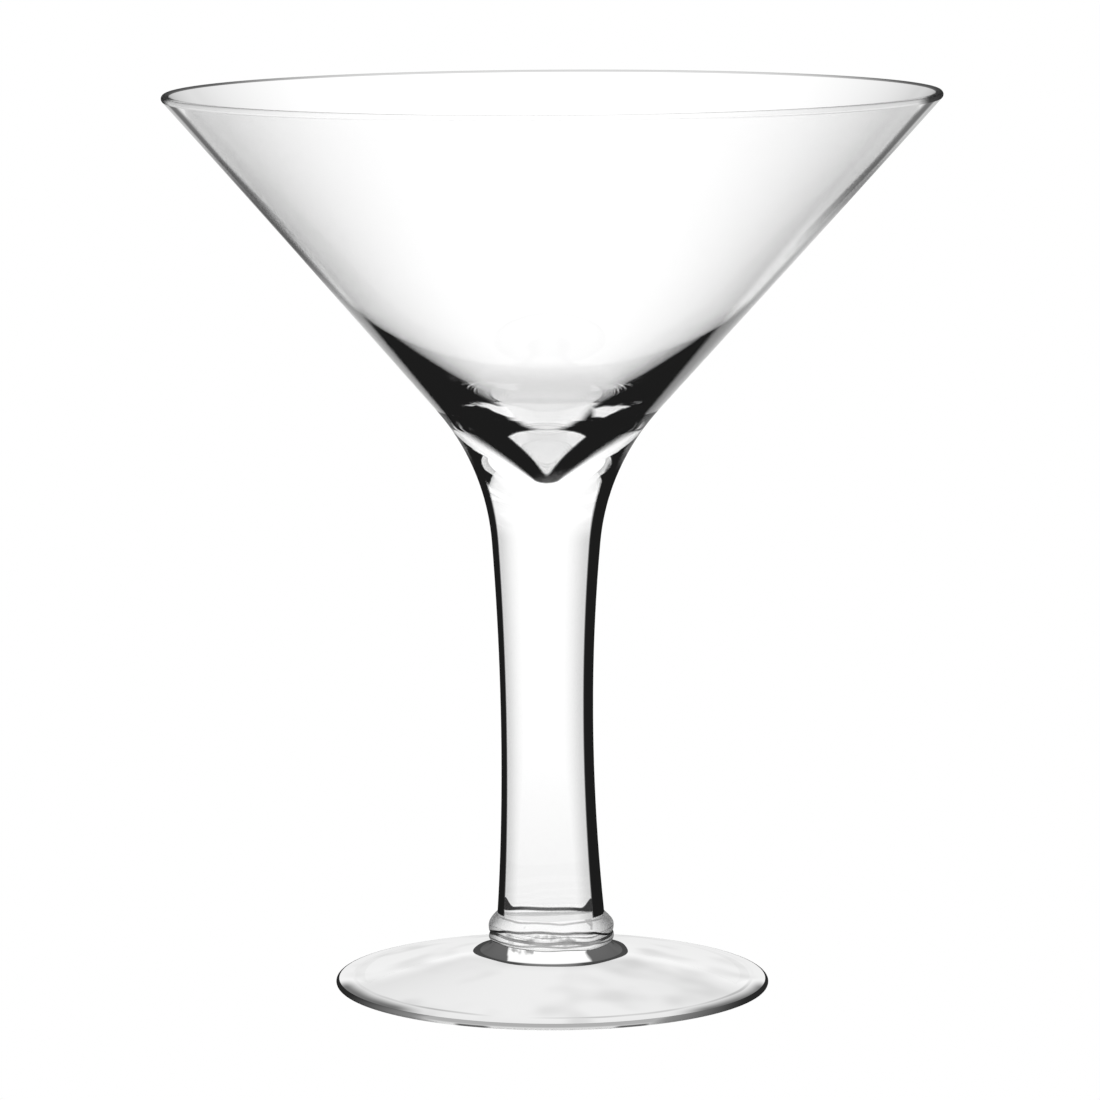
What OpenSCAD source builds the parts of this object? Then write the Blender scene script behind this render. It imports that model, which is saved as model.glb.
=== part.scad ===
// Hand-made martini glass: a wide conical bowl on a thick solid stem, two collar rings and a
// round foot. Five pieces of hot-joined glass, each a solid of revolution about the Z axis.
// The glass stands on the ring under its foot, at z = 0.

/* [Overall] */
// Height from the table to the top of the lip
total_h = 233; // [190:1:280]
// Diameter of the bowl over its lip
rim_d = 200; // [164:1:240]
// Diameter of the foot
foot_d = 113; // [90:1:140]

/* [Bowl] */
// Angle between the outside of the bowl and the axis
bowl_angle = 41.5; // [36:0.1:46]
// Wall thickness of the bowl near the lip
wall_t = 2.0; // [1.5:0.1:3]
// Angle between the inside of the bowl and the axis where the wall thickens
slope_angle = 52.2; // [50:0.1:53]
// Radius of the long curve between the wall and that slope, inside
slope_blend_r = 200; // [120:5:240]
// Radius at which the slope gives way to the pointed well
well_r = 17; // [14:0.5:20]
// Angle between the inside of the well and the axis
well_angle = 46; // [45:0.1:48]
// Radius of the curve between the slope and the well
well_blend_r = 30; // [15:1:45]
// Radius of the rounded point at the bottom of the well
well_tip_r = 4; // [1:0.1:6]
// Glass between the well's point and the apex of the bowl's outer cone
well_floor_t = 14.4; // [12:0.1:17]
// Radius of the small flat at the bottom of the bowl, where it sits in the stem
bowl_seat_r = 5; // [3:0.1:8]

/* [Stem] */
// Diameter of the stem at its narrowest
waist_d = 24; // [20:0.1:30]
// Height of the narrowest place above the table
waist_z = 67; // [50:1:85]
// Radius of the stem's long hollow curve
stem_curve_r = 595; // [490:5:715]
// Radius of the curve that flares into the bowl
flare_r = 60; // [50:1:72]

/* [Collar] */
// Height of the upper ring
upper_ring_h = 5.2; // [4:0.1:8]
// How far the upper ring stands out past the foot of the stem
upper_ring_out = 2.4; // [2:0.1:4]
// Height of the upper ring's widest place above its underside
upper_ring_belly = 1.6; // [1:0.1:3]
// Height of the lower ring
lower_ring_h = 2.3; // [1.5:0.1:4]
// How far the lower ring stands in from the upper ring
lower_ring_in = 0; // [0:0.05:1]
// Depth of the groove between the rings
groove_depth = 0.5; // [0.2:0.05:1]

/* [Foot] */
// Thickness of the foot at its edge
foot_edge_t = 1.6; // [1.2:0.1:2.5]
// Height of the foot's upper face where its neck begins
foot_crown_z = 8.6; // [6:0.1:11]
// Height of the neck above that
neck_h = 2.9; // [2:0.1:5]
// How far the neck spreads at its base
neck_spread = 4.9; // [3:0.1:7]
// Width of the flat ring that the glass stands on
rest_w = 4.5; // [3:0.5:8]
// Height of the hollow under the middle of the foot
hollow_h = 2.6; // [1:0.1:4]

/* [Hidden] */
$fn = 128;
GLASS = [0.90, 0.93, 0.94, 0.45];
RING_STEPS = 7;     // straight pieces in each half of a ring's side
ARC_STEPS = 14;     // straight pieces in a curve of the outline
LONG_STEPS = 22;    // straight pieces in a long curve

// Bowl: the outer cone, r = (z - apex_z) * tan(bowl_angle)
rim_r = rim_d / 2;
lip_r = wall_t / 2;                                  // the lip is fully rounded
lip_c = [rim_r - lip_r, total_h - lip_r];            // centre of the lip's rounding
up_out = [sin(bowl_angle), cos(bowl_angle)];         // up along the outer cone
face_out = [cos(bowl_angle), -sin(bowl_angle)];      // out of the outer cone, down and outwards
lip_out = lip_c + lip_r * face_out;
lip_in = lip_c - lip_r * face_out;
apex_z = lip_out[1] - lip_out[0] / tan(bowl_angle);

// Inside of the bowl: below the wall a slope, and in its middle the pointed well
up_slope = [sin(slope_angle), cos(slope_angle)];
up_well = [sin(well_angle), cos(well_angle)];
well_point = [0, apex_z + well_floor_t];             // where the well's cone would meet the axis
tip_c = [0, well_point[1] + well_tip_r / sin(well_angle)];
well_brim = well_point + up_well * well_r / sin(well_angle);
well_bisector = (slope_angle + well_angle) / 2;
well_blend_c = well_brim + well_blend_r / cos((slope_angle - well_angle) / 2)
    * [cos(well_bisector), -sin(well_bisector)];
slope_top = meet(lip_in, up_out, well_brim, up_slope);
slope_bisector = (slope_angle + bowl_angle) / 2;
slope_blend_c = slope_top + slope_blend_r / cos((slope_angle - bowl_angle) / 2)
    * [-cos(slope_bisector), sin(slope_bisector)];

// Foot, neck and rings stack up from the table
foot_r = foot_d / 2;
neck_top_z = foot_crown_z + neck_h;
lower_top_z = neck_top_z + lower_ring_h;
stem_z = lower_top_z + upper_ring_h;                 // the stem stands on the upper ring
waist_r = waist_d / 2;
curve_c = [waist_r + stem_curve_r, waist_z];
stem_foot_r = curve_c[0] - sqrt(pow(stem_curve_r, 2) - pow(stem_z - waist_z, 2));
upper_r = stem_foot_r + upper_ring_out;
lower_r = upper_r - lower_ring_in;
groove_r = lower_r - groove_depth;
neck_r = lower_r - 2 * groove_depth;                 // the neck's top, under the lower ring

// Stem: its long curve, then a flare that touches both that curve and the bowl's cone.
// The flare's centre is flare_r off the cone and (stem_curve_r - flare_r) from curve_c.
flare_base = [0, apex_z] + flare_r * face_out;
flare_c = on_line_at(flare_base, up_out, curve_c, stem_curve_r - flare_r);
flare_low = curve_c + stem_curve_r * unit(flare_c - curve_c);
flare_top = flare_c - flare_r * face_out;            // the stem ends here, on the bowl
seat_z = apex_z + bowl_seat_r / tan(bowl_angle);

function unit(v) = v / norm(v);

// Where two lines meet, each given by a point and a direction
function meet(p, u, q, v) =
    p + u * ((q[0] - p[0]) * v[1] - (q[1] - p[1]) * v[0]) / (u[0] * v[1] - u[1] * v[0]);

// Point of the line p + s * u at distance d from c: of the two, the one nearer to p
function on_line_at(p, u, c, d) =
    let (
        along = (c - p) * u,
        gap = (p - c) * (p - c) - d * d,
        half = sqrt(along * along - gap)
    )
    p + u * (along > 0 ? along - half : along + half);

// Points of an arc about c from angle a to angle b
function arc(c, r, a, b, steps) =
    [for (i = [0:steps]) c + r * [cos(a + (b - a) * i / steps), sin(a + (b - a) * i / steps)]];

// Angle of the direction from c to p, from 0 to 360
function bearing(c, p) =
    let (a = atan2(p[1] - c[1], p[0] - c[0])) a < 0 ? a + 360 : a;

// Side of a ring: a rounded belly from its underside (radius r0, height z0) to its widest place
// (r_out, z_out), then a sloping shoulder to its top (r1, z1)
function ring_side(r0, z0, r_out, z_out, r1, z1) = concat(
    [for (i = [0:RING_STEPS - 1])
        let (a = 90 * i / RING_STEPS)
        [r0 + (r_out - r0) * sin(a), z_out - (z_out - z0) * cos(a)]
    ],
    [for (i = [0:RING_STEPS])
        let (a = 90 * i / RING_STEPS)
        [r1 + (r_out - r1) * cos(a), z_out + (z1 - z_out) * i / RING_STEPS]
    ]
);

module revolve(outline) {
    rotate_extrude() polygon(outline);
}

// Conical bowl with a rounded lip. Its wall thickens inwards towards the bottom, and its blunt
// end fills the socket in the top of the stem.
module bowl() {
    color(GLASS)
        revolve(concat(
            [[0, seat_z], [bowl_seat_r, seat_z], flare_top],
            arc(lip_c, lip_r, -bowl_angle, 180 - bowl_angle, ARC_STEPS),
            arc(slope_blend_c, slope_blend_r, -bowl_angle, -slope_angle, LONG_STEPS),
            arc(well_blend_c, well_blend_r, 180 - slope_angle, 180 - well_angle, ARC_STEPS),
            arc(tip_c, well_tip_r, -well_angle, -90, ARC_STEPS)
        ));
}

// Solid stem, narrow above its foot and flared at the top, with a conical socket for the bowl
module stem() {
    color(GLASS)
        revolve(concat(
            [[0, stem_z]],
            arc(curve_c, stem_curve_r,
                bearing(curve_c, [stem_foot_r, stem_z]), bearing(curve_c, flare_low), LONG_STEPS),
            [for (p = arc(flare_c, flare_r, bearing(flare_c, flare_low),
                bearing(flare_c, flare_top), ARC_STEPS)) if (p[1] > flare_low[1] + 0.01) p],
            [[bowl_seat_r, seat_z], [0, seat_z]]
        ));
}

// Rounded disc under the stem
module upper_ring() {
    color(GLASS)
        revolve(concat(
            [[0, lower_top_z]],
            ring_side(upper_r - groove_depth, lower_top_z,
                upper_r, lower_top_z + upper_ring_belly,
                stem_foot_r, stem_z),
            [[0, stem_z]]
        ));
}

// Thinner rounded disc between the upper ring and the foot
module lower_ring() {
    color(GLASS)
        revolve(concat(
            [[0, neck_top_z]],
            ring_side(neck_r, neck_top_z,
                lower_r, neck_top_z + lower_ring_h / 2,
                groove_r, lower_top_z),
            [[0, lower_top_z]]
        ));
}

// Disc foot: a gently rising upper face, a short spreading neck, and a shallow hollow beneath
module foot() {
    edge_r = foot_edge_t / 2;
    rest_out = foot_r - edge_r;
    rest_in = rest_out - rest_w;
    // The hollow is part of a sphere that ends on the resting ring
    hollow_r = (pow(rest_in, 2) + pow(hollow_h, 2)) / (2 * hollow_h);
    hollow_a = asin(rest_in / hollow_r);
    color(GLASS)
        revolve(concat(
            arc([0, hollow_h - hollow_r], hollow_r, 90, 90 - hollow_a, ARC_STEPS),
            arc([rest_out, edge_r], edge_r, -90, 90, ARC_STEPS),
            [for (i = [0:ARC_STEPS])
                let (a = 90 * i / ARC_STEPS)
                [neck_r + neck_spread * (1 - sin(a)), neck_top_z - neck_h * cos(a)]
            ],
            [[0, neck_top_z]]
        ));
}

bowl();
stem();
upper_ring();
lower_ring();
foot();
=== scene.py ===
# A hand-made martini glass, empty and clear, standing on a pale floor in soft white light.
# Every piece is a closed body of revolution about the Z axis, in metres, in the frame of the
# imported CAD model, and is then put very slightly out of true, as hot-worked glass is.
import math
from typing import NamedTuple

import bmesh
import bpy
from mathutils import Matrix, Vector


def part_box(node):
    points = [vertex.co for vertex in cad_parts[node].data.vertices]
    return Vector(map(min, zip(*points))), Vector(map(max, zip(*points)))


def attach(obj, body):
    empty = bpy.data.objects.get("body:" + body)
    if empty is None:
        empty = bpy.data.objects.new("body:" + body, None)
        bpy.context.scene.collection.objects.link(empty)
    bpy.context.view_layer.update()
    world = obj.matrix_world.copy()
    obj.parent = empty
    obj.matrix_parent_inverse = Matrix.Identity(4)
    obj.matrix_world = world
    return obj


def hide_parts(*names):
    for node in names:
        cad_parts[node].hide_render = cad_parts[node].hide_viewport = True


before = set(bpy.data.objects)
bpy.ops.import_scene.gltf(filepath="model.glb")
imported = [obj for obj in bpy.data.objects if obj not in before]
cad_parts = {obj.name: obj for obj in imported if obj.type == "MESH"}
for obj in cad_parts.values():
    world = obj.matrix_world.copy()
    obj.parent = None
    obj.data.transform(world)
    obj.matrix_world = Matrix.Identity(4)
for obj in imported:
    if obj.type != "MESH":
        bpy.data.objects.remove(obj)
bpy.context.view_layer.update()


class Waves(NamedTuple):
    """Waves round the axis: their size, how many there are, and where they start."""
    size: float
    number: int
    start: float


class Fade(NamedTuple):
    """Smooth change from low, at the value start, to high, at the value end."""
    start: float
    end: float
    low: float
    high: float


class Line(NamedTuple):
    """A dark line at one value: its middle, half its full width, its soft edge, its darkness."""
    middle: float
    half: float
    soft: float
    dark: float


class Wobble(NamedTuple):
    """Slow uneven change round the axis: its noise's scale per metre, and its whole size."""
    per_metre: float
    size: float


# ---------------------------------------------------------------------------------- sizes

MM = 0.001

# Overall sizes come from the frame
RIM_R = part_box("bowl")[1][0]
TOTAL_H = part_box("bowl")[1][2]
FOOT_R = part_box("foot")[1][0]
NECK_TOP_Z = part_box("foot")[1][2]
LOWER_TOP_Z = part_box("lower_ring")[1][2]
STEM_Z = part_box("upper_ring")[1][2]
UPPER_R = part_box("upper_ring")[1][0]
LOWER_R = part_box("lower_ring")[1][0]

# Bowl
BOWL_ANGLE = math.radians(41.5)     # outside of the bowl, from the axis
WALL_T = 2.0 * MM
LIP_BAND = 0.3 * MM                 # width of the dark line under the lip, inside
SLOPE_ANGLE = math.radians(52.2)    # inside, where the wall thickens
SLOPE_BLEND_R = 200 * MM
WELL_R = 17 * MM                    # where the slope gives way to the pointed well
WELL_ANGLE = math.radians(46)
WELL_BLEND_R = 30 * MM
WELL_TIP_R = 4 * MM
WELL_FLOOR_T = 14.4 * MM            # glass between the well's point and the outer cone's apex
SEAT_R = 5 * MM

# Stem
WAIST_R = 12 * MM
WAIST_Z = 67 * MM
STEM_CURVE_R = 595 * MM
FLARE_R = 60 * MM

# Collar
RING_BELLY = 1.6 * MM               # height of the upper ring's widest place above its underside
GROOVE_DEPTH = 0.5 * MM
GROOVE_LINE = 0.45 * MM             # height of the dark line each side of a groove

# Foot
EDGE_T = 1.6 * MM
NECK_R = LOWER_R - 2 * GROOVE_DEPTH
NECK_H = 2.9 * MM
NECK_SPREAD = 4.9 * MM
COLLAR_LOW_Z = NECK_TOP_Z - NECK_H  # the neck's base, where the collar's waves start
REST_W = 4.5 * MM
HOLLOW_H = 2.6 * MM

# Hand work
RIM_LEAN = 0.006                    # rise of the rim towards +X, as a slope
GLASS_LEAN = 0.5 * MM               # how far the rim stands towards -X
STEM_BEND = 1.9 * MM                # how far the stem bends towards -X
BEND_Z = 100 * MM                   # height of the middle of the bend
BEND_REACH = 150 * MM               # how far the bend reaches above and below it
RING_WAVES = (                      # the collar rises and falls
    Waves(0.38 * MM, 2, 0.4),
    Waves(0.22 * MM, 5, 1.9),
    Waves(0.12 * MM, 9, 0.7),
)
NECK_SWELLS = (                     # the neck's base goes out and in
    Waves(0.5 * MM, 3, 5.7),
    Waves(0.3 * MM, 7, 3.4),
)
SWELL_R = 20.5 * MM                 # radius of the neck's base
SWELL_REACH = 8 * MM

# Meshes
SIDES = 256                         # faces round the axis
STEP = 4 * MM                       # longest stretch of outline between two rings of points
ARC_STEPS = 20
TINY = 1e-7                         # points closer than this are one point
SHARP_ANGLE = math.radians(40)      # edges sharper than this aren't smoothed

# Stage
FLOOR_SIZE = 60                     # metres
FLOOR_GAP = 0.05 * MM               # keeps the floor out of the face that the foot rests on

# Camera, which stands before the glass and looks down on it a little
LENS = 183.6                        # mm, as is the sensor's width
SENSOR_W = 36
CAMERA_AT = (-0.0011, -1.4386, 0.31729)
CAMERA_PITCH = 0.140167             # radians downwards
VIEW_END = 100                      # metres from the camera

# Light paths
GLASS_BOUNCES = 48                  # a path can cross the glass this often
MIRROR_BOUNCES = 24

# ---------------------------------------------------------------------------------- looks

# Light and glass
WHITE = (1, 1, 1, 1)
# painted shade: a near-black glow mixed into the glass where it stands in for a dark room
PAINTED_DARK_GLOW = (0.012, 0.012, 0.012, 1)
IOR = 1.5
BACKDROP = 1.0                      # what the camera sees behind the glass
THROUGH = 1.15                      # light that reaches the eye through the glass
MIRRORED = 1.0                      # light that glass mirrors at a glancing angle
FACING_BLEND = 0.5                  # at which Layer Weight's Facing is 1 less a cosine

# Clear glass shows a dark room and a white table in places that depend on the angle. Here the dark
# room is painted shade and painted reflection, a near-black glow mixed into the glass. Fades over
# Facing set those places: it is 0 on a surface that points at the eye, and 1 where it turns away.
# A fade is over Facing where nothing else is said. One named TILT is over tilt, which is 0 on an
# upright surface and 1 on a level one, and SPOTS and CLOUD are over the noise named GRAIN.
PAINTED_SHADE_SHIFT = 0.08                       # how much sooner a painted side shade comes towards +X
PAINTED_REFLECTION_SHIFT = 0.04                # and how much sooner the mirrored table takes over from the painted reflection there
PAINTED_ROOM_REFLECTION = Fade(0.71, 0.77, 1.0, 0.0)          # painted reflection of a dark room on the outside, then the mirrored table
PAINTED_ROOM_INSIDE = Fade(0.250, 0.265, 0.0, 1.0)     # painted shade where the bowl's inside would show a dark room from within
PAINTED_ROOM_INSIDE_END = Fade(0.40, 0.55, 1.0, 0.0)             # and then mirrors light again
THIN_WALL = Fade(205 * MM, 228 * MM, 0.0, 1.0)      # by height: shows what lies behind it
WELL_TIP = Fade(2 * MM, 6 * MM, 0.88, 1.0)          # by radius: the painted shade is a little paler at the well's tip

# Light streaks left out of the painted shade in the bowl's inside, by the distance from the axis
# along X
STREAK_Z = Fade(10 * MM, 20 * MM, 155.4 * MM, 157.0 * MM)
STREAK_HALF = Fade(11 * MM, 19 * MM, 1.1 * MM, 0.2 * MM)    # half their thickness
STREAK_ENDS = Line(15 * MM, 5 * MM, 2 * MM, 0.85)   # their middle, reach and strength
STREAK_SOFT = Fade(0.0, 0.5 * MM, 1.0, 0.0)         # by the distance past their thickness
STREAK_WOBBLE = Wobble(120, 4.0 * MM)

# Bowl's outside: painted reflection and painted shade
WALL_GLOSS_BY_HEIGHT = Fade(184 * MM, 206 * MM, 0.95, 0.2)    # painted reflection: gloss by height, bright as of the table, then dim as of a dark room
WALL_GLOSS_SHIFT = 14 * MM          # how much higher that change comes towards +X
WALL_BORDER = Fade(0.90, 0.97, 0.0, 0.6)            # painted reflection: gloss of the light border
WALL_SOFT = Fade(0.30, 0.85, 0.0, 0.06)
WALL_LINE = Line(0.862, 0.014, 0.045, 0.78)         # the painted dark line within the border, by Facing
WALL_LINE_LOW = Fade(186 * MM, 218 * MM, 0.0, 1.0)  # by height: how dark the line is
WALL_LINE_RIGHT = Fade(198 * MM, 220 * MM, 0.10, 0.02)      # by height: how far in it lies
WALL_LINE_LEFT = Fade(195 * MM, 220 * MM, 0.08, 0.0)

# Bowl's inside: painted shade
INSIDE_SOFT = Fade(0.20, 0.85, 0.0, 0.24)
INSIDE_WELL = Fade(146 * MM, 156 * MM, 0.24, 0.0)   # by height

# Lip: painted shade
LIP_EDGE = Fade(0.66, 0.82, 0.0, 0.95)
LIP_SOFT = Fade(0.0, 0.5, 0.0, 0.25)
LIP_LINE = Fade(0.05, 0.6, 0.35, 0.90)
LIP_LINE_TILT = Fade(0.5, 0.7, 0.0, 1.0)

# Stem: painted shade
ROD_EDGE = Fade(0.40, 0.47, 0.0, 1.0)
ROD_EDGE_TILT = Fade(0.40, 0.52, 1.0, 0.0)          # no black edge where the flare tilts
ROD_SOFT = Fade(0.0, 0.42, 0.0, 0.36)
ROD_SOFT_TILT = Fade(0.10, 0.25, 1.0, 0.0)
ROD_LOW = Fade(0.0, 70 * MM, 0.14, 0.0)             # by height above the collar
ROD_LINE_Z = Fade(0.0, 0.45, 3.4 * MM, 2.2 * MM)    # height of the dark line above the collar
ROD_LINE_ENDS = Fade(0.22, 0.44, 0.0, 2.6 * MM)     # how far up its ends reach
ROD_LINE_TOP = Fade(0.2 * MM, 0.7 * MM, 1.0, 0.0)   # by height above the line and its ends
ROD_LINE_UNDER = Fade(-0.7 * MM, -0.3 * MM, 0.10, 1.0)      # by height above the line
ROD_LINE_DARK = Fade(0.02, 0.20, 0.89, 0.97)

# Collar: painted shade, whose lines are at set heights
COLLAR_SIDES = Fade(0.05, 0.80, 0.0, 0.72)
COLLAR_WOBBLE = Wobble(70, 1.6 * MM)
COLLAR_TOP_LINE = Line(STEM_Z - 0.5 * MM, 0.10 * MM, 0.25 * MM, 0.50)
COLLAR_LOW_LINE = Line(NECK_TOP_Z + 1.2 * MM, 0.12 * MM, 0.3 * MM, 0.65)
COLLAR_MIDDLE_LINE = Line(LOWER_TOP_Z + 2.5 * MM, 0.16 * MM, 0.35 * MM, 0.85)
COLLAR_MIDDLE_DROP = Fade(0.0, 0.8, 0.0, 2.0 * MM)  # how much lower it lies towards the sides
COLLAR_LINE_DARK = Fade(0.02, 0.5, 0.85, 1.35)
COLLAR_GRAIN = 230.0                                # scale of the noise, per metre
COLLAR_SPOTS = Fade(0.56, 0.70, 0.0, 0.5)

# Grooves: painted shade where the rings join
GROOVE_SIDES = Fade(0.1, 0.5, 0.0, 0.97)
GROOVE_DARK = 0.74
GROOVE_WOBBLE = Wobble(90, 0.8)

# Neck: painted shade
NECK_SIDES = Fade(0.05, 0.45, 0.0, 1.0)
NECK_WOBBLE = Wobble(160, 0.6)
NECK_LOBES = Fade(0.48, 0.62, 0.0, 0.88)            # by the two together
NECK_BASE = Fade(0.96, 0.98, 0.0, 1.0)              # by tilt: the line where the foot begins
NECK_BASE_DARK = Fade(0.0, 0.15, 0.80, 0.94)
NECK_GRAIN = 260.0
NECK_SPOTS = Fade(0.54, 0.64, 0.0, 0.6)
NECK_SPOTS_TILT = Fade(0.35, 0.75, 1.0, 0.0)

# Foot: painted shade, and cloud-like darker patches; its front lies towards -Y
FOOT_WOBBLE = Wobble(30, 1.6 * MM)
FOOT_LINE = Line(FOOT_R - 4.4 * MM, 0.15 * MM, 0.6 * MM, 0.45)      # by radius
FOOT_LINE_DARK = 0.6
FOOT_LINE_WOBBLE = Wobble(22, 4.0)
FOOT_LINE_FRONT = Fade(-26 * MM, 0.0, 1.0, 0.15)    # by Y
FOOT_BAND = Fade(FOOT_R - 4.8 * MM, FOOT_R - 1.0 * MM, 0.0, 0.80)   # by radius
FOOT_BAND_FRONT = Fade(-14 * MM, -4 * MM, 1.0, 0.0)                 # by Y
FOOT_BAND_SIDES = Fade(0.16, 0.34, 0.0, 1.0)
FOOT_GRAIN = 70.0
FOOT_CLOUD = Fade(0.48, 0.80, 0.0, 0.16)

# Foot's edge: painted shade
EDGE_GREY = Fade(-0.5, 0.3, 0.28, 0.62)             # by the normal's Z: lighter underneath
EDGE_SIDES = Fade(-0.96, 0.66, 0.0, 0.99)
EDGE_SIDES_START = Fade(0.03, 0.2, 0.0, 1.0)
EDGE_DASH = Line(0.39, 0.06, 0.08, 0.88)            # by the normal's X over its Y
EDGE_DASH_UNDER = Fade(-0.25, 0.05, 1.0, 0.0)       # by the normal's Z
EDGE_DASH_FRONT = Fade(-0.15, -0.05, 1.0, 0.0)      # by the normal's Y

# Detail of the noises, and their middle value
ROUND_DETAIL = 2.0
GRAIN_DETAIL = 2.0
CLOUD_DETAIL = 1.0
NOISE_MIDDLE = 0.5


# ------------------------------------------------------------------------------- outlines

def meet(p, u, q, v):
    """Where the line through p along u crosses the line through q along v."""
    gap = q - p
    return p + u * ((gap.x * v.y - gap.y * v.x) / (u.x * v.y - u.y * v.x))


def upwards(angle):
    """Direction up and out, at an angle from the axis."""
    return Vector((math.sin(angle), math.cos(angle)))


def arc(centre, radius, start, end):
    """Points of an arc, angles in radians."""
    turns = [start + (end - start) * i / ARC_STEPS for i in range(ARC_STEPS + 1)]
    return [centre + radius * Vector((math.cos(a), math.sin(a))) for a in turns]


def bearing(centre, point):
    """Angle of the direction from centre to point, from 0 to a full turn."""
    return math.atan2(point.y - centre.y, point.x - centre.x) % math.tau


def rounded_corner(corner, radius, first, last, side):
    """Arc that rounds a corner between lines at the angles first and last from the axis. side
    is -1 where the arc's centre lies towards the axis, and 1 where it lies away from it."""
    middle = (first + last) / 2
    reach = radius / math.cos((first - last) / 2)
    centre = corner + side * reach * Vector((math.cos(middle), -math.sin(middle)))
    turn = 0 if side < 0 else math.pi
    return arc(centre, radius, turn - first, turn - last)


# Angles that step through a quarter turn
QUARTER_TURN = [math.pi / 2 * i / ARC_STEPS for i in range(ARC_STEPS + 1)]


def ring_side(foot, widest, top):
    """Side of a collar ring: a rounded belly, then a sloping shoulder."""
    belly = []
    shoulder = []
    for i, a in enumerate(QUARTER_TURN):
        belly.append(Vector((
            foot.x + (widest.x - foot.x) * math.sin(a),
            widest.y - (widest.y - foot.y) * math.cos(a))))
        shoulder.append(Vector((
            top.x + (widest.x - top.x) * math.cos(a),
            widest.y + (top.y - widest.y) * i / ARC_STEPS)))
    return belly[:-1] + shoulder


def cut_at(points, height):
    """The outline below a height and above it. Both hold the point where it is cut."""
    low = [p for p in points if p.y <= height]
    return low, [low[-1]] + [p for p in points if p.y > height]


# Outer cone of the bowl and its rounded lip
LIP_R = WALL_T / 2
UP_WALL = upwards(BOWL_ANGLE)
FACE_OUT = Vector((math.cos(BOWL_ANGLE), -math.sin(BOWL_ANGLE)))
LIP_C = Vector((RIM_R - LIP_R, TOTAL_H - LIP_R))
LIP_OUT = LIP_C + LIP_R * FACE_OUT
LIP_IN = LIP_C - LIP_R * FACE_OUT
APEX = Vector((0, LIP_OUT.y - LIP_OUT.x / math.tan(BOWL_ANGLE)))
SEAT_Z = APEX.y + SEAT_R / math.tan(BOWL_ANGLE)

# The stem's long curve, and the foot of the stem on the collar
CURVE_C = Vector((WAIST_R + STEM_CURVE_R, WAIST_Z))
STEM_FOOT_R = CURVE_C.x - math.sqrt(STEM_CURVE_R ** 2 - (STEM_Z - WAIST_Z) ** 2)


def flare():
    """Centre of the flare, and the points where it leaves the stem and meets the bowl."""
    base = APEX + FLARE_R * FACE_OUT
    along = (base - CURVE_C).dot(UP_WALL)
    gap = (base - CURVE_C).length_squared - (STEM_CURVE_R - FLARE_R) ** 2
    half = math.sqrt(along ** 2 - gap)
    centre = base + UP_WALL * min((-along - half, -along + half), key=abs)
    low = CURVE_C + STEM_CURVE_R * (centre - CURVE_C).normalized()
    return centre, low, centre - FLARE_R * FACE_OUT


FLARE_C, FLARE_LOW, FLARE_TOP = flare()


def bowl_inside():
    """Inside of the bowl, from the dark line under the lip to the bottom of the well."""
    well_point = Vector((0, APEX.y + WELL_FLOOR_T))
    brim = well_point + upwards(WELL_ANGLE) * WELL_R / math.sin(WELL_ANGLE)
    slope_top = meet(LIP_IN, UP_WALL, brim, upwards(SLOPE_ANGLE))
    tip_c = Vector((0, well_point.y + WELL_TIP_R / math.sin(WELL_ANGLE)))
    points = [LIP_IN - LIP_BAND * UP_WALL]
    points += rounded_corner(slope_top, SLOPE_BLEND_R, BOWL_ANGLE, SLOPE_ANGLE, -1)
    points += rounded_corner(brim, WELL_BLEND_R, SLOPE_ANGLE, WELL_ANGLE, 1)
    points += arc(tip_c, WELL_TIP_R, -WELL_ANGLE, -math.pi / 2)
    return points


# Each outline is a list of stretches, in order, and the material of each

def bowl_outline():
    inside = bowl_inside()
    return [
        ([Vector((0, SEAT_Z)), Vector((SEAT_R, SEAT_Z)), FLARE_TOP], "seam"),
        ([FLARE_TOP, LIP_OUT], "wall"),
        (arc(LIP_C, LIP_R, -BOWL_ANGLE, math.pi / 2), "lip"),
        (arc(LIP_C, LIP_R, math.pi / 2, math.pi - BOWL_ANGLE) + inside[:1], "lip_line"),
        (inside, "inside"),
    ]


def stem_outline():
    foot = Vector((STEM_FOOT_R, STEM_Z))
    curve = arc(CURVE_C, STEM_CURVE_R, bearing(CURVE_C, foot), bearing(CURVE_C, FLARE_LOW))
    top = arc(FLARE_C, FLARE_R, bearing(FLARE_C, FLARE_LOW), bearing(FLARE_C, FLARE_TOP))
    return [
        ([Vector((0, STEM_Z)), foot], "seam"),
        (curve + top, "rod"),
        ([FLARE_TOP, Vector((SEAT_R, SEAT_Z)), Vector((0, SEAT_Z))], "seam"),
    ]


def upper_ring_outline():
    side = ring_side(
        Vector((UPPER_R - GROOVE_DEPTH, LOWER_TOP_Z)),
        Vector((UPPER_R, LOWER_TOP_Z + RING_BELLY)),
        Vector((STEM_FOOT_R, STEM_Z)))
    groove, side = cut_at(side, LOWER_TOP_Z + GROOVE_LINE)
    return [
        ([Vector((0, LOWER_TOP_Z)), groove[0]], "seam"),
        (groove, "groove"),
        (side, "collar"),
        ([side[-1], Vector((0, STEM_Z))], "seam"),
    ]


def lower_ring_outline():
    side = ring_side(
        Vector((NECK_R, NECK_TOP_Z)),
        Vector((LOWER_R, (NECK_TOP_Z + LOWER_TOP_Z) / 2)),
        Vector((LOWER_R - GROOVE_DEPTH, LOWER_TOP_Z)))
    low, side = cut_at(side, NECK_TOP_Z + GROOVE_LINE)
    side, high = cut_at(side, LOWER_TOP_Z - GROOVE_LINE)
    return [
        ([Vector((0, NECK_TOP_Z)), low[0]], "seam"),
        (low, "groove"),
        (side, "collar"),
        (high, "groove"),
        ([high[-1], Vector((0, LOWER_TOP_Z))], "seam"),
    ]


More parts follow.
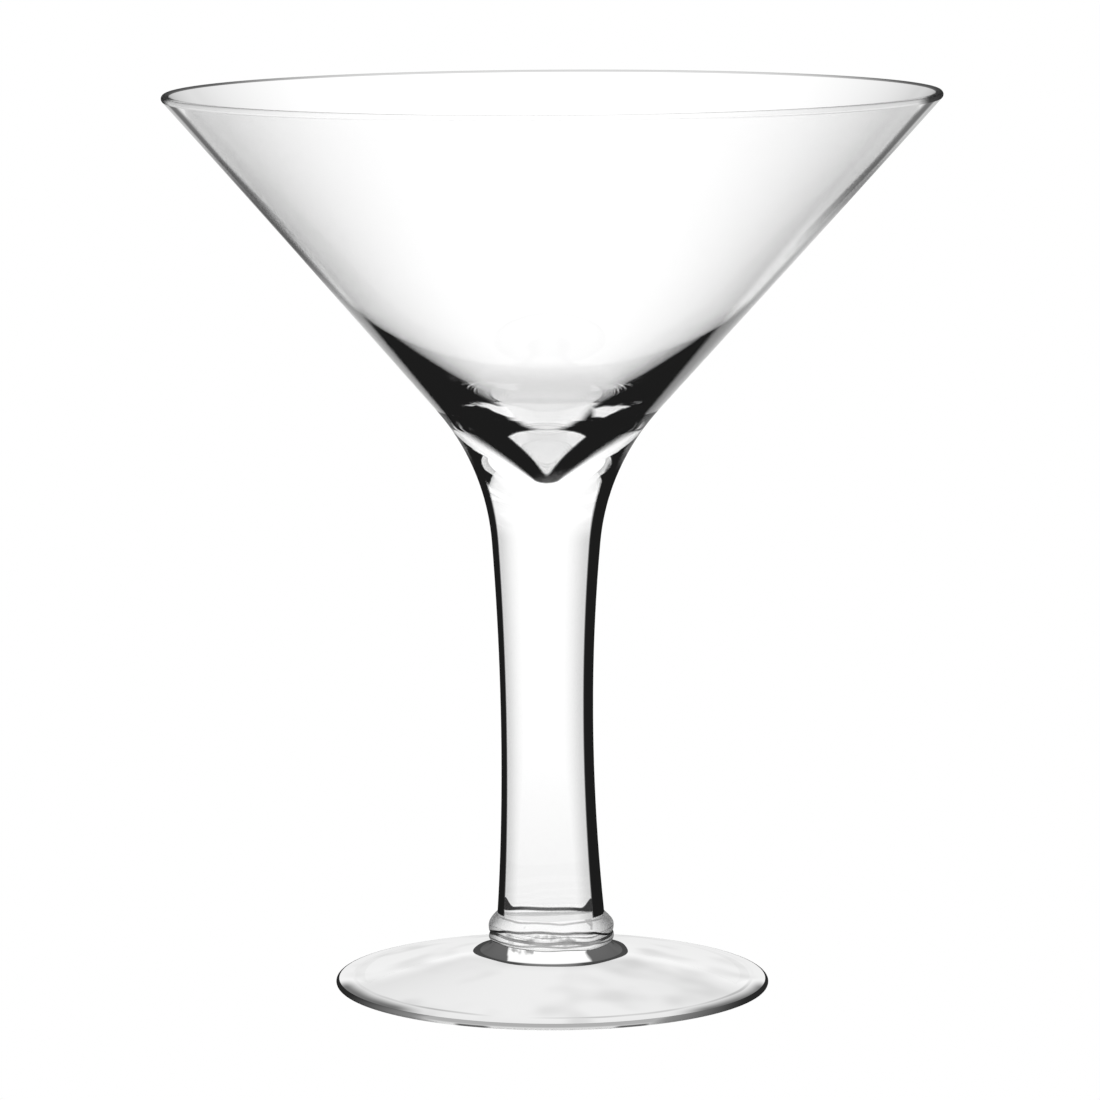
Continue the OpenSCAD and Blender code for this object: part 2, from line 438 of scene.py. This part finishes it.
def foot_outline():
    edge_r = EDGE_T / 2
    rest_out = FOOT_R - edge_r
    rest_in = rest_out - REST_W
    # The hollow is part of a sphere that ends on the resting ring
    hollow_r = (rest_in ** 2 + HOLLOW_H ** 2) / (2 * HOLLOW_H)
    hollow_a = math.asin(rest_in / hollow_r)
    hollow = arc(Vector((0, HOLLOW_H - hollow_r)), hollow_r, math.pi / 2, math.pi / 2 - hollow_a)
    edge = arc(Vector((rest_out, edge_r)), edge_r, -math.pi / 2, math.pi / 2)
    neck = [Vector((NECK_R + NECK_SPREAD * (1 - math.sin(a)), NECK_TOP_Z - NECK_H * math.cos(a)))
            for a in QUARTER_TURN]
    return [
        (hollow[:-1], "foot"),
        (hollow[-2:], "rest"),
        ([hollow[-1], edge[0]], "foot"),
        (edge, "edge"),
        ([edge[-1], neck[0]], "foot"),
        (neck, "neck"),
        ([neck[-1], Vector((0, NECK_TOP_Z))], "seam"),
    ]


# --------------------------------------------------------------------------------- meshes

def sum_of(waves, angle):
    """Height of several waves together at an angle round the axis."""
    return sum(wave.size * math.sin(wave.number * angle + wave.start) for wave in waves)


def hand_made(x, y, z):
    """The same place on the real glass: its stem is bent a little, its rim leans, its collar
    is wavy, and its neck is uneven."""
    radius = math.hypot(x, y)
    angle = math.atan2(y, x)
    rise = RIM_LEAN * x * (z / TOTAL_H) ** 2
    share = (z - COLLAR_LOW_Z) / (STEM_Z - COLLAR_LOW_Z)
    if 0 < share < 1:
        rise += sum_of(RING_WAVES, angle) * math.sin(math.pi * share) ** 2 * radius / UPPER_R
    swell = 0
    if z < NECK_TOP_Z and radius > 0:
        near = max(0, 1 - abs(radius - SWELL_R) / SWELL_REACH)
        swell = sum_of(NECK_SWELLS, angle) * near ** 2 / radius
    away = min(1, abs(z - BEND_Z) / BEND_REACH)
    shift = STEM_BEND * math.cos(math.pi / 2 * away) ** 2 + GLASS_LEAN * z / TOTAL_H
    return x * (1 + swell) - shift, y * (1 + swell), z + rise


def finer(points):
    """The outline with more points on its long stretches."""
    out = [points[0]]
    for p, q in zip(points, points[1:]):
        length = (q - p).length
        if length < TINY:
            continue
        parts = max(1, math.ceil(length / STEP))
        out += [p.lerp(q, i / parts) for i in range(1, parts + 1)]
    return out


def ring_of_points(bm, p):
    """One point of the outline taken round the axis, or a single point if it is on the axis."""
    count = 1 if p.x < TINY else SIDES
    turns = [math.tau * i / SIDES for i in range(count)]
    return [bm.verts.new(hand_made(p.x * math.cos(a), p.x * math.sin(a), p.y)) for a in turns]


def join_rings(bm, low, high, material):
    """Faces between two rings of points, either of which may be one point on the axis."""
    for i in range(SIDES):
        j = (i + 1) % SIDES
        corners = [low[i % len(low)], low[j % len(low)], high[j % len(high)], high[i % len(high)]]
        corners = list(dict.fromkeys(corners))
        if len(corners) > 2:
            bm.faces.new(corners).material_index = material


def revolved(name, outline, materials):
    """A closed body of revolution."""
    mesh = bpy.data.meshes.new(name)
    used = []
    bm = bmesh.new()
    last = None
    for points, key in outline:
        if key not in used:
            used.append(key)
            mesh.materials.append(materials[key])
        for p in finer(points):
            if last and (p - last[0]).length < TINY:
                continue
            ring = ring_of_points(bm, p)
            if last:
                join_rings(bm, last[1], ring, used.index(key))
            last = (p, ring)
    bmesh.ops.remove_doubles(bm, verts=bm.verts, dist=TINY)
    bmesh.ops.recalc_face_normals(bm, faces=bm.faces)
    for face in bm.faces:
        face.smooth = True
    bm.to_mesh(mesh)
    bm.free()
    mesh.set_sharp_from_angle(angle=SHARP_ANGLE)
    piece = bpy.data.objects.new(name, mesh)
    bpy.context.scene.collection.objects.link(piece)
    return piece


# ---------------------------------------------------------------------------- shader nodes

X, Y, Z = range(3)


class Nodes:
    """Short ways to add shader nodes to one tree. A value given to them is a number or the
    output of another node."""

    def __init__(self, tree):
        self.tree = tree
        self.shared = {}
        tree.nodes.clear()

    def add(self, kind, **inputs):
        node = self.tree.nodes.new(kind)
        for name, value in inputs.items():
            self.set(node.inputs[name], value)
        return node

    def once(self, kind):
        """The tree's one node of a kind that has no inputs."""
        if kind not in self.shared:
            self.shared[kind] = self.tree.nodes.new(kind)
        return self.shared[kind]

    def set(self, socket, value):
        if isinstance(value, bpy.types.NodeSocket):
            self.tree.links.new(value, socket)
        else:
            socket.default_value = value

    def set_in_order(self, node, values):
        for socket, value in zip(node.inputs, values):
            self.set(socket, value)
        return node.outputs[0]

    def math(self, operation, *values):
        node = self.tree.nodes.new("ShaderNodeMath")
        node.operation = operation
        return self.set_in_order(node, values)

    def less(self, value, taken):
        return self.math("SUBTRACT", value, taken)

    def plus(self, *values):
        total = values[0]
        for value in values[1:]:
            total = self.math("ADD", total, value)
        return total

    def times(self, *values):
        product = values[0]
        for value in values[1:]:
            product = self.math("MULTIPLY", product, value)
        return product

    def largest(self, *values):
        most = values[0]
        for value in values[1:]:
            most = self.math("MAXIMUM", most, value)
        return most

    def absolute(self, value):
        return self.math("ABSOLUTE", value)

    def vector_math(self, operation, vector):
        node = self.tree.nodes.new("ShaderNodeVectorMath")
        node.operation = operation
        self.set(node.inputs[0], vector)
        return node

    def fade(self, value, fade):
        node = self.tree.nodes.new("ShaderNodeMapRange")
        node.interpolation_type = "SMOOTHSTEP"
        return self.set_in_order(node, (value, *fade))

    def line(self, value, line):
        """Darkness of a line over a value."""
        off = self.absolute(self.less(value, line.middle))
        return self.fade(off, Fade(line.half, line.half + line.soft, line.dark, 0.0))

    def blend(self, factor, first, second):
        """A number between first, where factor is 0, and second, where it is 1."""
        node = self.tree.nodes.new("ShaderNodeMix")
        self.set(node.inputs["Factor"], factor)
        self.set(node.inputs["A"], first)
        self.set(node.inputs["B"], second)
        return node.outputs["Result"]

    def mix(self, factor, first, second):
        """A shader between first, where factor is 0, and second, where it is 1."""
        return self.set_in_order(self.tree.nodes.new("ShaderNodeMixShader"), (factor, first, second))

    def place(self):
        """Where the surface is, on the object."""
        return self.once("ShaderNodeTexCoord").outputs["Object"]

    def place_part(self, axis):
        return self.add("ShaderNodeSeparateXYZ", Vector=self.place()).outputs[axis]

    def radius(self):
        """Distance from the axis."""
        level = self.add("ShaderNodeMapping", Vector=self.place(), Scale=(1, 1, 0))
        return self.vector_math("LENGTH", level.outputs[0]).outputs["Value"]

    def geometry(self, name):
        return self.once("ShaderNodeNewGeometry").outputs[name]

    def normal_part(self, axis):
        return self.add("ShaderNodeSeparateXYZ", Vector=self.geometry("Normal")).outputs[axis]

    def facing(self):
        """0 where the surface points at the eye, and 1 where it turns away."""
        return self.add("ShaderNodeLayerWeight", Blend=FACING_BLEND).outputs["Facing"]

    def cosine(self, direction):
        """Absolute cosine of the angle between a direction and the line to the eye."""
        weight = self.add("ShaderNodeLayerWeight", Blend=FACING_BLEND, Normal=direction)
        return self.less(1.0, weight.outputs["Facing"])

    def round_noise(self, wobble):
        """Slow change round the axis, up to half its size either way."""
        scale = (wobble.per_metre, wobble.per_metre, 0)
        level = self.add("ShaderNodeMapping", Vector=self.place(), Scale=scale)
        noise = self.add(
            "ShaderNodeTexNoise", Vector=level.outputs[0], Scale=1.0, Detail=ROUND_DETAIL)
        return self.times(self.less(noise.outputs[0], NOISE_MIDDLE), wobble.size)

    def grain(self, per_metre, detail):
        noise = self.add(
            "ShaderNodeTexNoise", Vector=self.place(), Scale=per_metre, Detail=detail)
        return noise.outputs[0]


def new_material(name):
    material = bpy.data.materials.new(name)
    material.use_nodes = True
    return material, Nodes(material.node_tree)


# --------------------------------------------------------------------------------- shades

def sides(n, fade):
    """A fade over Facing, with tilt left out of the surface and of the view, so that it runs
    only to the left and right, as on a rod seen from any height. The painted shades it sets
    come a little sooner towards +X, as the glass is a little uneven."""
    x = n.normal_part(X)
    level = n.add("ShaderNodeCombineXYZ", X=x, Y=n.normal_part(Y), Z=0.0)
    out = n.vector_math("NORMALIZE", level.outputs[0]).outputs["Vector"]
    axis = n.add("ShaderNodeCombineXYZ", X=0.0, Y=0.0, Z=1.0).outputs[0]
    steep = n.cosine(axis)
    across = n.math("SQRT", n.less(1.0, n.times(steep, steep)))
    facing = n.less(1.0, n.math("DIVIDE", n.cosine(out), across))
    return n.fade(n.plus(facing, n.times(x, PAINTED_SHADE_SHIFT)), fade)


def tilt(n, fade):
    """A fade over tilt: 0 on an upright surface, and 1 on a level one."""
    return n.fade(n.absolute(n.normal_part(Z)), fade)


def streaks(n):
    """Where the painted shade in the bowl's inside is left out, as two light streaks at the left and
    right of the well.
    """
    across = n.absolute(n.place_part(X))
    height = n.plus(n.place_part(Z), n.round_noise(STREAK_WOBBLE))
    off = n.absolute(n.less(height, n.fade(across, STREAK_Z)))
    band = n.fade(n.less(off, n.fade(across, STREAK_HALF)), STREAK_SOFT)
    return n.times(band, n.line(across, STREAK_ENDS))


def wall_painted_gloss(n):
    """Painted reflection: a gloss colour that is bright low down, as of the light table, and dim
    higher up, as of a dark room, with a light border all the way."""
    height = n.less(n.place_part(Z), n.times(n.normal_part(X), WALL_GLOSS_SHIFT))
    return n.largest(n.fade(height, WALL_GLOSS_BY_HEIGHT), n.fade(n.facing(), WALL_BORDER))


def wall_shades(n):
    """Painted shade: faint towards the bowl's edges, and a dark line just within them."""
    height = n.place_part(Z)
    facing = n.facing()
    right = n.math("MAXIMUM", n.normal_part(X), 0.0)
    left = n.times(n.math("MINIMUM", n.normal_part(X), 0.0), -1.0)
    inwards = n.plus(
        n.times(right, n.fade(height, WALL_LINE_RIGHT)),
        n.times(left, n.fade(height, WALL_LINE_LEFT)))
    line = n.line(n.plus(facing, inwards), WALL_LINE)
    return n.largest(n.fade(facing, WALL_SOFT), n.times(line, n.fade(height, WALL_LINE_LOW)))


def inside_shades(n):
    """Painted shade towards the bowl's edges, and in the well."""
    return n.largest(n.fade(n.facing(), INSIDE_SOFT), n.fade(n.place_part(Z), INSIDE_WELL))


def lip_shades(n):
    """Painted shade: dark where the lip turns away at the bowl's left and right."""
    return n.largest(sides(n, LIP_EDGE), sides(n, LIP_SOFT))


def lip_line_shades(n):
    """Painted shade: a dark line round the inner half of the lip, strongest at the left and right.
    """
    return n.times(sides(n, LIP_LINE), tilt(n, LIP_LINE_TILT))


def rod_shades(n):
    """Painted shade: black edges, a faint shade within them, and a dark line above the collar,
    whose ends turn up into the edges."""
    height = n.less(n.place_part(Z), STEM_Z)
    over = n.less(height, sides(n, ROD_LINE_Z))
    above = n.less(over, sides(n, ROD_LINE_ENDS))
    line = n.times(
        n.fade(above, ROD_LINE_TOP), n.fade(over, ROD_LINE_UNDER), sides(n, ROD_LINE_DARK))
    return n.largest(
        n.times(sides(n, ROD_EDGE), tilt(n, ROD_EDGE_TILT)),
        n.times(sides(n, ROD_SOFT), tilt(n, ROD_SOFT_TILT)),
        n.fade(height, ROD_LOW),
        line)


def collar_shades(n):
    """Painted shade: grey sides, uneven dark level lines, and dark spots."""
    height = n.plus(n.place_part(Z), n.round_noise(COLLAR_WOBBLE))
    lines = n.largest(
        n.line(height, COLLAR_TOP_LINE),
        n.line(n.plus(height, sides(n, COLLAR_MIDDLE_DROP)), COLLAR_MIDDLE_LINE),
        n.line(height, COLLAR_LOW_LINE))
    spots = n.fade(n.grain(COLLAR_GRAIN, GRAIN_DETAIL), COLLAR_SPOTS)
    return n.largest(sides(n, COLLAR_SIDES), n.times(lines, sides(n, COLLAR_LINE_DARK)), spots)


def groove_shades(n):
    """Painted shade where the rings join, darker in some places than in others."""
    return n.largest(sides(n, GROOVE_SIDES), n.plus(n.round_noise(GROOVE_WOBBLE), GROOVE_DARK))


def neck_shades(n):
    """Painted shade: the neck's sides dark, as if showing a dark room, with an uneven edge, a dark
    line round its base, darker towards the sides, and dark spots."""
    lobes = n.fade(n.plus(sides(n, NECK_SIDES), n.round_noise(NECK_WOBBLE)), NECK_LOBES)
    base = n.times(tilt(n, NECK_BASE), sides(n, NECK_BASE_DARK))
    spots = n.fade(n.grain(NECK_GRAIN, GRAIN_DETAIL), NECK_SPOTS)
    return n.largest(lobes, base, n.times(spots, tilt(n, NECK_SPOTS_TILT)))


def foot_shades(n):
    """Painted shade: a faint uneven line near the foot's edge, and dark beyond it at the front left
    and front right; besides, cloud-like darker patches."""
    radius = n.plus(n.radius(), n.round_noise(FOOT_WOBBLE))
    front = n.place_part(Y)
    strength = n.plus(n.round_noise(FOOT_LINE_WOBBLE), FOOT_LINE_DARK)
    line = n.times(n.line(radius, FOOT_LINE), strength, n.fade(front, FOOT_LINE_FRONT))
    band = n.times(
        n.fade(radius, FOOT_BAND), n.fade(front, FOOT_BAND_FRONT), sides(n, FOOT_BAND_SIDES))
    cloud = n.fade(n.grain(FOOT_GRAIN, CLOUD_DETAIL), FOOT_CLOUD)
    return n.largest(line, band, cloud)


def edge_shades(n):
    """Painted shade: a grey edge, darkest where it turns away, and lighter under its middle, with
    two dark dashes at its front."""
    height = n.normal_part(Z)
    across = n.absolute(n.math("DIVIDE", n.normal_part(X), n.normal_part(Y)))
    dashes = n.times(
        n.line(across, EDGE_DASH),
        n.fade(height, EDGE_DASH_UNDER),
        n.fade(n.normal_part(Y), EDGE_DASH_FRONT))
    turned = n.times(sides(n, EDGE_SIDES_START), sides(n, EDGE_SIDES))
    return n.largest(turned, n.fade(height, EDGE_GREY), dashes)


# ------------------------------------------------------------------------------ materials

# What total reflection shows from within the glass; the dark room is painted shade
MIRROR = "a mirror"
PAINTED_ROOM = "the dark room"
BEHIND = "what lies behind, as thin glass does"


def grey(share):
    """The colour that keeps a share of the light."""
    return (share, share, share, 1)


def painted_room_within(n):
    """Share of painted shade where the bowl's inside, seen from within, shows a dark room: in its
    thick bottom, between the light streaks.
    """
    facing = n.facing()
    return n.times(
        n.fade(facing, PAINTED_ROOM_INSIDE),
        n.fade(facing, PAINTED_ROOM_INSIDE_END),
        n.less(1.0, n.fade(n.place_part(Z), THIN_WALL)),
        n.less(1.0, streaks(n)),
        n.fade(n.radius(), WELL_TIP))


def light_within(n, within):
    """What total reflection shows from within the glass, apart from the painted dark room."""
    clear = n.add("ShaderNodeBsdfTransparent", Color=WHITE).outputs[0]
    if within == BEHIND:
        return clear
    total = n.add("ShaderNodeBsdfAnisotropic", Color=WHITE, Roughness=0.0).outputs[0]
    return n.mix(n.fade(n.place_part(Z), THIN_WALL), total, clear)


def glass_material(name, gloss, tint=1.0, shades=None, within=BEHIND):
    """Clear glass. gloss and tint are the shares of the light that it mirrors and lets through.
    shades is a function of the nodes that gives a share of painted shade, and gloss may be one
    that gives the gloss colour as a painted reflection. within says what total reflection shows
    from within the glass. Painted shade and painted reflection are a near-black glow mixed in."""
    material, n = new_material(name)
    backfacing = n.geometry("Backfacing")
    front = n.less(1.0, backfacing)
    # Painted shade: a near-black glow, mixed in where the glass stands in for a dark room
    dark = n.add("ShaderNodeEmission", Color=PAINTED_DARK_GLOW).outputs[0]
    color = gloss(n) if callable(gloss) else grey(gloss)
    glossy = n.add("ShaderNodeBsdfAnisotropic", Color=color, Roughness=0.0).outputs[0]
    mirror = n.mix(backfacing, glossy, light_within(n, within))
    # Painted reflection: where the outside faces the eye its mirror is near-black, as of a dark room
    turned = n.plus(n.facing(), n.times(n.normal_part(X), PAINTED_REFLECTION_SHIFT))
    mirror = n.mix(n.times(n.fade(turned, PAINTED_ROOM_REFLECTION), front), mirror, dark)
    # Painted shade: from within, the bowl's inside shows near-black between the light streaks
    if within == PAINTED_ROOM:
        mirror = n.mix(n.times(painted_room_within(n), backfacing), mirror, dark)
    refraction = n.add("ShaderNodeBsdfRefraction", Color=grey(tint), IOR=IOR, Roughness=0.0)
    fresnel = n.add("ShaderNodeFresnel", IOR=IOR).outputs[0]
    shader = n.mix(fresnel, refraction.outputs[0], mirror)
    # Painted shade on front faces, from the shades function
    if shades:
        shader = n.mix(n.times(shades(n), front), shader, dark)
    n.add("ShaderNodeOutputMaterial", Surface=shader)
    return material


def seam_material():
    """Where two pieces are fused: light passes straight through."""
    material, n = new_material("fused_seam")
    clear = n.add("ShaderNodeBsdfTransparent", Color=WHITE)
    n.add("ShaderNodeOutputMaterial", Surface=clear.outputs[0])
    return material


def white_light(n):
    """Brightness of the white surround, as seen through glass, in a mirror and directly."""
    path = n.add("ShaderNodeLightPath")
    through = n.blend(path.outputs["Is Transmission Ray"], MIRRORED, THROUGH)
    return n.blend(path.outputs["Is Camera Ray"], through, BACKDROP)


def floor_material():
    """A white lit table."""
    material, n = new_material("pale_floor")
    glow = n.add("ShaderNodeEmission", Color=WHITE, Strength=white_light(n))
    n.add("ShaderNodeOutputMaterial", Surface=glow.outputs[0])
    return material


def glass_materials():
    """Every material of the glass, by the name that the outlines use."""
    return {
        "wall": glass_material("bowl_glass", wall_painted_gloss, shades=wall_shades, within=MIRROR),
        "inside": glass_material(
            "bowl_inside_glass", gloss=0.3, shades=inside_shades, within=PAINTED_ROOM),
        "lip": glass_material("lip_glass", wall_painted_gloss, shades=lip_shades),
        "lip_line": glass_material("lip_line_glass", gloss=0.2, shades=lip_line_shades),
        "rod": glass_material(
            "stem_glass", gloss=0.3, tint=0.98, shades=rod_shades, within=MIRROR),
        "collar": glass_material("collar_glass", gloss=0.6, tint=0.88, shades=collar_shades),
        "groove": glass_material("groove_glass", gloss=0.3, shades=groove_shades),
        "neck": glass_material("neck_glass", gloss=0.6, tint=0.95, shades=neck_shades),
        "foot": glass_material("foot_glass", gloss=0.85, tint=0.86, shades=foot_shades),
        "rest": glass_material("foot_rest_glass", gloss=0.3, tint=0.75),
        "edge": glass_material("foot_edge_glass", gloss=0.5, shades=edge_shades),
        "seam": seam_material(),
    }


# ------------------------------------------------------------------------- build and stage

def build_glass():
    materials = glass_materials()
    outlines = {
        "bowl": bowl_outline(),
        "stem": stem_outline(),
        "upper_ring": upper_ring_outline(),
        "lower_ring": lower_ring_outline(),
        "foot": foot_outline(),
    }
    for node, outline in outlines.items():
        piece = revolved(node + "_glass", outline, materials)
        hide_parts(node)
        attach(piece, "root")


def studio_light():
    """White all round."""
    world = bpy.data.worlds.new("studio")
    world.use_nodes = True
    bpy.context.scene.world = world
    n = Nodes(world.node_tree)
    light = n.add("ShaderNodeBackground", Color=WHITE, Strength=white_light(n))
    n.add("ShaderNodeOutputWorld", Surface=light.outputs[0])


def pale_floor():
    bpy.ops.mesh.primitive_plane_add(size=FLOOR_SIZE, location=(0, 0, -FLOOR_GAP))
    floor = bpy.context.object
    floor.name = "floor"
    floor.data.materials.append(floor_material())


def camera():
    data = bpy.data.cameras.new("camera")
    data.lens = LENS
    data.sensor_width = SENSOR_W
    data.clip_end = VIEW_END
    eye = bpy.data.objects.new("camera", data)
    eye.location = CAMERA_AT
    eye.rotation_euler = (math.pi / 2 - CAMERA_PITCH, 0, 0)
    bpy.context.scene.collection.objects.link(eye)
    bpy.context.scene.camera = eye


def light_paths():
    """Plain colours, and light paths long enough for thick clear glass."""
    scene = bpy.context.scene
    scene.view_settings.view_transform = "Standard"
    scene.cycles.max_bounces = GLASS_BOUNCES
    scene.cycles.transmission_bounces = GLASS_BOUNCES
    scene.cycles.transparent_max_bounces = GLASS_BOUNCES
    scene.cycles.glossy_bounces = MIRROR_BOUNCES


build_glass()
studio_light()
pale_floor()
camera()
light_paths()
